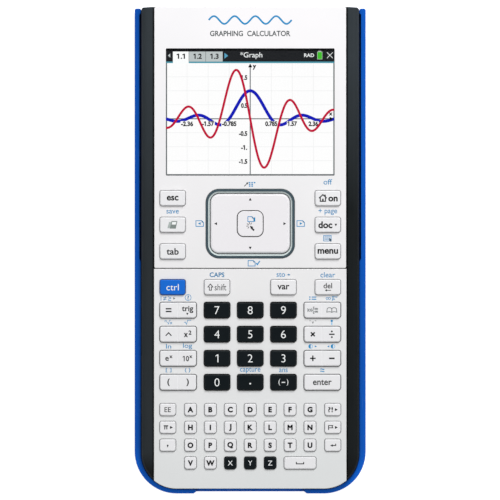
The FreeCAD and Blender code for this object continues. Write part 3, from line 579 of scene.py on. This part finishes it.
def digit_keys(inks):
    for digit in "0123456789":
        p = on_part("key_" + digit, inks["white"], "digit")
        p.write(digit, 0, 0, DIGIT_CAP, weight=THIN)
        p.finish()
    p = on_part("key_point", inks["white"], "digit")
    p.disc(0, -0.5, 0.32)
    p.finish()
    p = on_part("key_negate", inks["white"], "digit")
    p.write("(", -1.55, 0, 2.0, weight=THIN)
    p.write(")", 1.55, 0, 2.0, weight=THIN)
    p.box(0, 0, 1.35, 0.34)
    p.finish()


def equals_trig(p):
    for y in (-0.5, 0.55):
        p.box(-SIDE, y, 2.2, 0.5)
    p.write("trig", SIDE, 0.3, 2.1, 4.4, MEDIUM)
    p.arrow(SIDE - 0.1, -1.35, 0.55, -90)


def power_square(p):
    p.line([(-SIDE - 1.1, -0.6), (-SIDE, 0.6), (-SIDE + 1.1, -0.6)], 0.38)
    p.write("x", SIDE - 0.65, -0.3, 2.1, 1.6, BOLD)
    p.write("2", SIDE + 0.95, 0.65, 1.5, weight=BOLD)


def exponentials(p):
    p.write("e", -SIDE - 0.6, -0.2, 2.1, weight=0.014)
    p.write("x", -SIDE + 0.9, 0.6, 1.3, weight=BOLD)
    p.write("10", SIDE - 0.65, -0.1, 1.95, 2.4, MEDIUM)
    p.write("x", SIDE + 1.25, 0.6, 1.3, weight=BOLD)


def brackets(p):
    p.write("(", -SIDE, 0, 2.0, weight=BOLD)
    p.write(")", SIDE, 0, 2.0, weight=BOLD)


def template_catalog(p):
    """A maths template with an empty box and a brace, then an open book."""
    x = -SIDE
    for dx in (-1.95, -0.55):
        p.line([(x + dx, -0.65), (x + dx, 0.75)], 0.2)
    p.line([(x - 1.6, -0.35), (x - 0.9, -0.35), (x - 0.9, 0.4), (x - 1.6, 0.4)], 0.2, closed=True)
    p.write("{", x + 0.15, 0, 2.0, weight=LIGHT)
    for dx in (0.95, 1.65):
        for dy in (-0.55, 0.55):
            p.line([(x + dx - 0.22, dy - 0.22), (x + dx + 0.22, dy - 0.22), (x + dx + 0.22, dy + 0.22),
                    (x + dx - 0.22, dy + 0.22)], 0.2, closed=True)
    leaf = ((0, -0.8), (0, 0.65), (0.5, 0.95), (1.3, 0.95), (1.75, 0.65), (1.95, -0.75), (1.2, -0.6),
            (0.5, -0.6))
    for side in (-1, 1):
        p.line([(SIDE + side * dx, y) for dx, y in leaf], 0.24, closed=True)


def multiply_divide(p):
    for sign in (-1, 1):
        p.line([(-SIDE - 0.75, -0.75 * sign), (-SIDE + 0.75, 0.75 * sign)], 0.54)
        p.disc(SIDE, sign * 1.1, 0.35)
    p.box(SIDE, 0, 2.15, 0.5)


def add_subtract(p):
    p.box(-SIDE, 0, 2.15, 0.5)
    p.box(-SIDE, 0, 0.5, 2.15)
    p.box(SIDE, 0, 2.15, 0.6)


def double_keys(inks):
    for draw in (equals_trig, power_square, exponentials, brackets, template_catalog, multiply_divide,
                 add_subtract):
        p = on_part("rocker_" + draw.__name__, inks["grey" if draw is template_catalog else "black"], "sign")
        draw(p)
        p.finish()


def letter_keys(inks):
    rows = ("ABCDEFG", "HIJKLMN", "OPQRSTU", "VW")
    for number, letters in enumerate(rows, start=1):
        node = f"alpha_row_{number}_keys"
        p = on_part(node, inks["black"], "letters").at(0, centre(node)[1])
        for column, letter in enumerate(letters):
            p.write(letter, (column - 3) * PITCH, 0, LETTER_CAP, weight=LETTER_WEIGHT)
        end_keys(p, number)
        p.finish()
    p = on_part("xyz_keys", inks["white"], "letters")
    for column, letter in enumerate("XYZ"):
        p.write(letter, (column - 1) * PITCH, 0, LETTER_CAP, weight=LIGHT)
    p.finish()


def end_keys(p, number):
    """The wider keys at the ends of a letter row."""
    if number == 1:
        p.write("EE", -END_X, 0, LETTER_CAP, 2.45, LIGHT)
        p.write("?!", END_X - 0.85, 0, LETTER_CAP, 1.9, MEDIUM)
    if number == 2:
        p.line([(-END_X - 1.55, 0.62), (-END_X + 0.2, 0.62)], 0.42)
        p.line([(-END_X - 1.05, 0.55), (-END_X - 1.15, -0.75)], 0.38)
        p.line([(-END_X - 0.35, 0.55), (-END_X - 0.35, -0.75)], 0.38)
        p.arrow(-END_X + 1.3, 0, 0.7, 0)
        p.line([(END_X - 1.6, -0.95), (END_X - 1.6, 0.85)], 0.34)
        p.line([(END_X - 1.6, 0.75), (END_X + 0.05, 0.75), (END_X - 0.25, 0.3), (END_X + 0.05, -0.15),
                (END_X - 1.6, -0.15)], 0.28)
    if number in (1, 2):
        p.arrow(END_X + 1.25, 0, 0.7, 0)
    if number == 3:
        p.disc(-END_X, -0.1, 0.32)
        p.fill((-END_X - 0.25, -0.25), (-END_X + 0.32, -0.15), (-END_X - 0.15, -0.95))
        p.line([(END_X + 1.15, 0.6), (END_X + 1.15, -0.1), (END_X - 0.2, -0.1)], 0.34)
        p.arrow(END_X - 0.35, -0.1, 0.6, 180)
    if number == 4:
        space = 2.5 * PITCH
        p.line([(space - 1.4, 0.45), (space - 1.4, -0.3), (space + 1.4, -0.3), (space + 1.4, 0.45)], 0.36)


# ---- Second legends on the faceplates ----
def above(p, node, dx=0.0, rise=4.65):
    x, y, top = centre(node)
    return p.at(x + dx, y + rise)


def small_words(p):
    for node, words, width, rise in (
            ("key_home_on", "off", 3.3, 6.3), ("key_scratchpad", "save", 4.8, 5.05),
            ("key_doc", "+ page", 7.2, 5.0), ("key_shift", "CAPS", 5.7, 4.8), ("key_del", "clear", 5.7, 4.8),
            ("key_point", "capture", 7.9, 4.6), ("key_negate", "ans", 3.3, 4.6)):
        cap, weight = (SMALL_CAP, MEDIUM) if words == "CAPS" else (SMALL_WORD_CAP, LIGHT)
        above(p[node in UPPER_KEYS], node, 0, rise).write(words, 0, 0, cap, width, weight)
    for node, dx, words, cap, width in (
            ("rocker_exponentials", -SIDE, "ln", SMALL_CAP, 2.0),
            ("rocker_exponentials", SIDE, "log", SMALL_CAP, 3.5),
            ("rocker_brackets", -SIDE, "[ ]", BRACKET_CAP, 2.2),
            ("rocker_brackets", SIDE, "{ }", BRACKET_CAP, 2.3)):
        above(p[0], node, dx).write(words, 0, 0, cap, width, LIGHT)
    assign = above(p[0], "rocker_template_catalog", -SIDE)
    for y in (-0.42, 0.42):
        assign.box(-1.15, y, 0.48, 0.48)
        assign.box(0.45, y, 1.8, 0.38)
    about = above(p[0], "key_enter")
    for y in (-0.42, 0.42):
        about.line([(x * 0.2, y - 0.09 * math.sin(x * math.tau / 8)) for x in range(-4, 5)], 0.34)
    lower = above(p[0], "key_var", 0, 4.8)
    lower.write("sto", -1.0, 0, SMALL_WORD_CAP, 3.3, LIGHT)
    lower.line([(1.3, 0), (2.2, 0)], 0.22)
    lower.arrow(2.2, 0, 0.5, 0)


UPPER_KEYS = ("key_esc", "key_scratchpad", "key_tab", "key_home_on", "key_doc", "key_menu")


def page(p, x, y, w=2.9, h=2.2, line=0.27):
    """A sheet with its corner folded."""
    fold = 0.7
    p.line([(x - w / 2, y - h / 2), (x + w / 2, y - h / 2), (x + w / 2, y + h / 2 - fold),
            (x + w / 2 - fold, y + h / 2), (x - w / 2, y + h / 2)], line, closed=True)
    p.fill((x + w / 2 - fold, y + h / 2), (x + w / 2, y + h / 2 - fold), (x + w / 2 - fold, y + h / 2 - fold))


def pad_legends(p, dark):
    """The signs round the direction pad and between the keys of the upper plate."""
    low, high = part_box("touchpad_ring")
    x, y = 0, centre("touchpad_ring")[1]
    reach_x, reach_y = high.x / MM - 1.0, high.y / MM - 1.0 - y
    p.at(x, y)
    for side in (-1, 1):
        page(p, side * (reach_x + 2.4), 0.05)
        p.arrow(side * (reach_x + 2.4), 0.05, 0.65, 90 - 90 * side)
    for column in range(3):
        for row in range(3 if column < 2 else 1):
            p.box(-0.2 + column * 0.95, reach_y + 2.55 - row * 0.68, 0.6, 0.46)
    page(p, 0.55, -reach_y - 2.0, 2.7, 2.1)
    p.line([(2.3, -reach_y - 1.9), (2.75, -reach_y - 2.5), (3.7, -reach_y - 1.1)], 0.42)
    dark.at(x, y).line([(-2.3, reach_y + 1.1), (-1.2, reach_y + 2.2)], 0.3)
    dark.arrow(-1.05, reach_y + 2.35, 0.6, 45)
    above(p, "key_menu", 0, 5.1)
    p.line([(-1.6, -1.05), (1.3, -1.05), (1.3, 1.05), (-1.6, 1.05)], 0.25, closed=True)
    for row in range(3):
        p.line([(-1.3, 0.55 - row * 0.5), (1.0, 0.55 - row * 0.5)], 0.22)
    above(dark, "key_menu", 0, 5.1).fill((0.6, 0.1), (1.65, -0.75), (1.2, -0.8), (1.35, -1.3), (1.05, -1.35),
                                         (0.9, -0.9), (0.6, -1.1))


def root_signs(p):
    above(p, "rocker_power_square", SIDE, 4.6)
    p.line([(-1.3, 0.0), (-0.9, 0.1), (-0.45, -0.75), (0.05, 0.8), (1.35, 0.8)], 0.2)
    above(p, "rocker_power_square", -SIDE, 4.6)
    p.write("n", -1.15, 0.5, 1.2, weight=LIGHT)
    p.line([(-0.7, 0.0), (-0.4, 0.1), (-0.1, -0.7), (0.35, 0.75), (0.8, 0.75)], 0.16)
    p.write("x", 0.95, -0.3, 1.3, weight=LIGHT)


def comparison_signs(p, dark):
    """Bar, not-equal and at-least signs with a small arrow, and a circled question mark."""
    above(p, "rocker_equals_trig", -SIDE, 4.5)
    p.line([(-2.95, -0.8), (-2.95, 0.85)], 0.22)
    for y in (-0.3, 0.3):
        p.line([(-2.1, y), (-0.8, y)], 0.22)
    p.line([(-1.9, -0.75), (-1.0, 0.75)], 0.2)
    p.line([(-0.2, 0.75), (0.9, 0.2), (-0.2, -0.3)], 0.22)
    p.line([(-0.2, -0.75), (0.95, -0.75)], 0.22)
    above(dark, "rocker_equals_trig", -SIDE, 4.5).arrow(2.1, 0.05, 0.5, 0)
    above(p, "rocker_equals_trig", SIDE + 0.2, 4.9)
    p.ring(0, 0, 1.15, 0.2)
    p.write("?", 0, 0, 1.4, weight=BOLD)


def right_signs(p, dark, light):
    above(p, "rocker_template_catalog", SIDE, 4.55)
    for side in (-1, 1):
        p.ring(-1.35 + side * 0.45, 0, 0.42, 0.2)
    p.line([(0.2, -0.95), (0.2, 0.75), (1.0, 0.75), (0.6, 0.1), (1.1, -0.35), (0.3, -0.55)], 0.22)
    p.ring(1.75, 0.6, 0.3, 0.16)
    above(dark, "rocker_multiply_divide", -SIDE, 4.6)
    for side in (-1, 1):
        dark.line([(side * 1.35, 0.55), (side * 0.75, 0.65)], 0.16)
    dark.write("v", 0, -0.1, 1.3, weight=LIGHT)
    above(p, "rocker_multiply_divide", SIDE, 4.6).disc(0, 0.55, 0.45)
    above(light, "rocker_multiply_divide", SIDE, 4.6).box(0, -0.5, 0.45, 1.0)
    for side in (-1, 1):
        x = side * 0.45 - 0.4 * (side < 0)
        above(p, "rocker_add_subtract", side * SIDE, 4.6)
        p.disc(x, 0, 0.85, 90, 270)
        p.arrow(-side * 1.15 - 0.1, 0, 0.5, 90 + 90 * side)
        above(light, "rocker_add_subtract", side * SIDE, 4.6)
        turns = [i * math.pi / 8 for i in range(9)]
        light.line([(x + 0.75 * math.sin(t), 0.75 * math.cos(t)) for t in turns], 0.24)


def faceplate_print(inks):
    def layer(node, name, tag):
        return on_part(node, inks[name], tag).at(0, 0)

    lower, upper = layer("lower_faceplate", "blue", "legends"), layer("upper_faceplate", "blue", "legends")
    dark_low, dark_up = layer("lower_faceplate", "grey", "marks"), layer("upper_faceplate", "grey", "marks")
    light = layer("lower_faceplate", "sky", "marks_light")
    small_words((lower, upper))
    pad_legends(upper, dark_up)
    root_signs(lower)
    comparison_signs(lower, dark_low)
    right_signs(lower, dark_low, light)
    name_plate(upper, dark_up)
    for p in (lower, upper, dark_low, dark_up, light):
        p.finish()


def name_plate(blue, grey):
    """A plain description and a wave, where a maker would print a name."""
    y = (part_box("upper_faceplate")[1].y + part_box("screen_window")[1].y) / 2 / MM
    wave = [(x * 0.25, math.sin(x * 0.25 * math.tau / 8) * 1.5) for x in range(-64, 65)]
    blue.at(0, y + 3.0).line(wave, 0.66)
    grey.at(0, y - 2.2).write("GRAPHING  CALCULATOR", 0, 0, 1.95, 31, MEDIUM)


def pad_marks(inks):
    p = on_part("touchpad_cover", inks["black"], "arrows")
    for angle, reach in ((90, 9.3), (-90, 9.3), (0, 13.2), (180, 13.2)):
        turn = math.radians(angle)
        p.arrow(reach * math.cos(turn), reach * math.sin(turn), 0.68, angle)
    p.finish()
    sign = on_part("select_button", inks["blue"], "sign")
    page(sign, 0.25, 1.75, 2.3, 1.9)
    sign.box(1.7, 1.6, 0.5, 1.6)
    sign.finish()
    p = on_part("select_button", inks["black"], "pointer")
    p.fill((-0.1, -0.8), (1.2, -1.3), (0.9, -1.6), (1.7, -2.4), (1.3, -2.85), (0.5, -2.1), (0.2, -1.85))
    for turn in (55, 100, 145, 190, 235):
        t = math.radians(turn)
        p.line([(-0.15 + 0.55 * math.cos(t), -0.75 + 0.55 * math.sin(t)),
                (-0.15 + 1.35 * math.cos(t), -0.75 + 1.35 * math.sin(t))], 0.24)
    p.finish()


# ---- Display ----
COLUMNS, ROWS = 320, 240
window_low, window_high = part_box("screen_window")
DOT = (window_high.x - window_low.x) / COLUMNS / MM
BAR, RULE = 24, 27            # bottoms of the status bar and of the line under it
AXIS_X, AXIS_Y = 160, 132.8   # where the axes cross
PER_UNIT_Y = 53.2             # dots for 1 on the upright axis
PER_UNIT_X = COLUMNS / math.tau
REACH = math.pi


def screen_layer(name, base, level, strength=1.02, dots=True):
    """A layer of the picture. Its x counts dots from the left, and y from the top down."""
    left = (window_low.x + window_high.x) / 2 / MM - COLUMNS * DOT / 2
    top = (window_low.y + window_high.y) / 2 / MM + ROWS * DOT / 2
    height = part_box("lcd_panel")[1].z / MM + 0.01 + level * 0.008
    material = display_light("display_" + name, base, strength, dots)
    return Print("display_" + name, BODY["lcd_panel"], material, height, step=(DOT, -DOT)).at(left, top)


def area(p, x0, y0, x1, y1):
    p.box((x0 + x1) / 2, (y0 + y1) / 2, x1 - x0, y1 - y0)


def wave_height(x):
    return math.sin(4 * x) / (4 * x) if abs(x) > 1e-6 else 1.0


def wave_slope(x):
    if abs(x) < 1e-4:
        return 0.0
    return (4 * x * math.cos(4 * x) - math.sin(4 * x)) / (4 * x * x)


def plot(p, function, width):
    xs = [-REACH + 2 * REACH * i / 480 for i in range(481)]
    p.line([(AXIS_X + x * PER_UNIT_X, AXIS_Y - function(x) * PER_UNIT_Y) for x in xs], width)


def display_tabs(black, night, teal, grey, white, pale_blue):
    area(black, 0, 0, COLUMNS, BAR)
    area(night, 0, 0, COLUMNS, 3.5)
    area(teal, 0, BAR, 13, RULE)
    area(teal, 43, BAR, COLUMNS, RULE)
    area(grey, 43.6, 5, 75, BAR)
    area(grey, 75.6, 5, 107.6, BAR)
    area(white, 13, 5, 43, RULE + 0.5)
    grey.fill((3.5, 12.5), (8, 8.5), (8, 16.5))
    pale_blue.fill((118, 13), (111, 7.5), (111, 18.5))


def display_text(dark, bright):
    for words, x in (("1.1", 28), ("1.2", 60), ("1.3", 92)):
        dark.write(words, x, 14, 9, 16, BOLD)
    bright.write("*Graph", 162, 12.5, 9.5, 42, LIGHT)
    bright.write("RAD", 272, 12, 6.5, 19, MEDIUM)
    for sign in (-1, 1):
        bright.line([(306, 12 - 5.5 * sign), (317, 12 + 5.5 * sign)], 1.0)


def display_axes(axes, grid):
    quarter = math.pi / 4 * PER_UNIT_X
    for i in (-3, -2, -1, 1, 2, 3):
        grid.line([(AXIS_X + i * quarter, RULE + 1), (AXIS_X + i * quarter, ROWS)], 0.9)
        grid.line([(0, AXIS_Y - i * PER_UNIT_Y / 2), (COLUMNS, AXIS_Y - i * PER_UNIT_Y / 2)], 0.9)
    axes.line([(AXIS_X, RULE + 2), (AXIS_X, ROWS)], 2)
    axes.line([(0, AXIS_Y), (COLUMNS, AXIS_Y)], 2)
    for x in (1, COLUMNS - 1):
        axes.line([(x, RULE), (x, ROWS)], 2)
    axes.line([(0, ROWS - 1), (COLUMNS, ROWS - 1)], 2)


def display_labels(patch, dark):
    quarter = math.pi / 4 * PER_UNIT_X
    for i, words in ((-3, "-2.36"), (-2, "-1.57"), (-1, "-0.785"), (1, "0.785"), (2, "1.57"), (3, "2.36")):
        x, wide = AXIS_X + i * quarter, 4.6 * len(words)
        area(patch, x - wide / 2 - 1, AXIS_Y + 4.5, x + wide / 2 + 1, AXIS_Y + 14.5)
        dark.write(words, x, AXIS_Y + 9.5, 8, wide, LABEL_WEIGHT)
    for value, words in ((1.5, "1.5"), (0.5, "0.5"), (-0.5, "-0.5"), (-1, "-1."), (-1.5, "-1.5")):
        y, wide = AXIS_Y - value * PER_UNIT_Y + 1.5, 4.0 * len(words)
        area(patch, AXIS_X - 7 - wide, y - 5, AXIS_X - 4, y + 5)
        dark.write(words, AXIS_X - 5.5, y, 8, wide, LABEL_WEIGHT, side=-1)
    dark.write("y", AXIS_X + 8, RULE + 8, 8, weight=0.05)
    dark.write("x", COLUMNS - 7, AXIS_Y - 9, 7, weight=0.05)
    dark.fill((AXIS_X - 4, RULE + 8), (AXIS_X, RULE + 1), (AXIS_X + 4, RULE + 8))
    dark.fill((COLUMNS - 9, AXIS_Y - 4), (COLUMNS - 2, AXIS_Y), (COLUMNS - 9, AXIS_Y + 4))


def battery_sign(outline, full):
    area(outline, 287.4, 5.2, 297.2, 19.8)
    area(outline, 289.5, 3.6, 295, 5.2)
    area(full, 288.2, 6.0, 296.4, 19.0)


def display():
    """The picture on the display, in layers from the back to the front."""
    specs = {                 # layer: colour, level
        "page": (colour(254, 254, 254), 0),
        "grid": (colour(237, 238, 238), 1),
        "axes": (colour(104, 110, 112), 2),
        "black": (colour(30, 32, 35), 1),
        "night": (colour(6, 8, 10), 2),
        "teal": (colour(76, 150, 168), 1),
        "tabs": (colour(188, 196, 196), 2),
        "tab_open": (colour(252, 254, 254), 2),
        "arrow": (colour(88, 160, 190), 2),
        "blue": (colour(14, 24, 180), 3),
        "red": (colour(192, 14, 54), 7),
        "patch": (colour(252, 252, 252), 5),
        "dark": (colour(4, 5, 6), 6),
        "bright": (colour(244, 248, 248), 6),
        "battery_edge": (colour(176, 190, 176), 3),
        "battery_full": (colour(66, 190, 42), 4),
    }
    layers = {name: screen_layer(name, base, level) for name, (base, level) in specs.items()}
    area(layers["page"], 0, 0, COLUMNS, ROWS)
    display_tabs(*(layers[name] for name in ("black", "night", "teal", "tabs", "tab_open", "arrow")))
    display_axes(layers["axes"], layers["grid"])
    plot(layers["blue"], wave_height, 6)
    plot(layers["red"], wave_slope, 4.3)
    display_labels(layers["patch"], layers["dark"])
    display_text(layers["dark"], layers["bright"])
    battery_sign(layers["battery_edge"], layers["battery_full"])
    for layer in layers.values():
        layer.finish()


# ---- Stage ----
FLOOR_DROP = 0.05             # gap under the cover, in millimetres
FLOOR_REACH = 2.5
CAMERA_HEIGHT = 3.0
AIM = (-0.08, 0.12)           # where the camera stands over the face, in millimetres
FRAME_SIZE = 0.193            # width of the view at the height of the plates


def floor():
    mesh = bpy.data.meshes.new("floor")
    corners = [(x * FLOOR_REACH, y * FLOOR_REACH, 0) for x, y in ((-1, -1), (1, -1), (1, 1), (-1, 1))]
    mesh.from_pydata(corners, [], [(0, 1, 2, 3)])
    plane = bpy.data.objects.new("floor", mesh)
    plane.location.z = cad_box[0].z - FLOOR_DROP * MM
    s = Shader("floor_pale")
    seen = s.add("LightPath").outputs["Is Camera Ray"]
    s.set(Base_Color=(0.8, 0.8, 0.8, 1), Roughness=0.9, Specular_IOR_Level=0.1,
          Emission_Color=(1, 1, 1, 1), Emission_Strength=s.spread(seen, 0, 0.75, 0, 1))
    mesh.materials.append(s.material)
    bpy.context.scene.collection.objects.link(plane)


def area_light(name, place, size, power):
    data = bpy.data.lights.new(name, "AREA")
    data.shape, data.size, data.energy = "SQUARE", size, power
    light = bpy.data.objects.new(name, data)
    light.location = place
    light.rotation_euler = (-Vector(place)).to_track_quat("-Z", "Y").to_euler()
    bpy.context.scene.collection.objects.link(light)


SKY = ((0.05, 0.10), (0.55, 0.80), (0.85, 0.80), (0.96, 0.22))   # brightness by height: 0 is the horizon


def sky():
    """A studio lit from all round overhead, dim at the horizon and darker straight above.

    Seen directly it is pale.
    """
    world = bpy.data.worlds.new("studio")
    world.use_nodes = True
    tree = world.node_tree
    kinds = "TexCoord", "SeparateXYZ", "ValToRGB", "LightPath", "Mix"
    place, split, ramp, path, seen = (tree.nodes.new("ShaderNode" + kind) for kind in kinds)
    while len(ramp.color_ramp.elements) < len(SKY):
        ramp.color_ramp.elements.new(1)
    for stop, (height, level) in zip(ramp.color_ramp.elements, SKY):
        stop.position, stop.color = height, (level, level, level, 1)
    tree.links.new(place.outputs["Generated"], split.inputs[0])
    tree.links.new(split.outputs["Z"], ramp.inputs[0])
    seen.data_type = "RGBA"
    seen.inputs[7].default_value = (0.9, 0.9, 0.9, 1)
    tree.links.new(path.outputs["Is Camera Ray"], seen.inputs[0])
    tree.links.new(ramp.outputs[0], seen.inputs[6])
    tree.links.new(seen.outputs[2], tree.nodes["Background"].inputs["Color"])
    bpy.context.scene.world = world


def lights():
    sky()
    area_light("key_light", (0.25, 0.75, 0.62), 0.35, 6.2)


def camera():
    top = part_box("upper_faceplate")[1].z
    data = bpy.data.cameras.new("camera")
    data.sensor_width = 36
    data.lens = data.sensor_width * (CAMERA_HEIGHT - top) / FRAME_SIZE
    data.clip_end = 10
    made = bpy.data.objects.new("camera", data)
    made.location = (AIM[0] * MM, AIM[1] * MM, CAMERA_HEIGHT)
    bpy.context.scene.collection.objects.link(made)
    bpy.context.scene.camera = made
    bpy.context.scene.view_settings.view_transform = "Standard"


dress_cad_parts()
INKS = {
    "black": ink("ink_black", colour(9, 12, 15)),
    "white": ink("ink_white", colour(240, 244, 244)),
    "grey": ink("ink_grey", colour(84, 92, 94)),
    "mist": ink("ink_mist", colour(124, 134, 130)),
    "pale": ink("ink_pale", colour(168, 178, 175)),
    "blue": ink("ink_blue", colour(0, 134, 190)),
    "sky": ink("ink_sky", colour(130, 190, 232)),
}
word_keys(INKS)
digit_keys(INKS)
double_keys(INKS)
letter_keys(INKS)
faceplate_print(INKS)
pad_marks(INKS)
display()
floor()
lights()
camera()
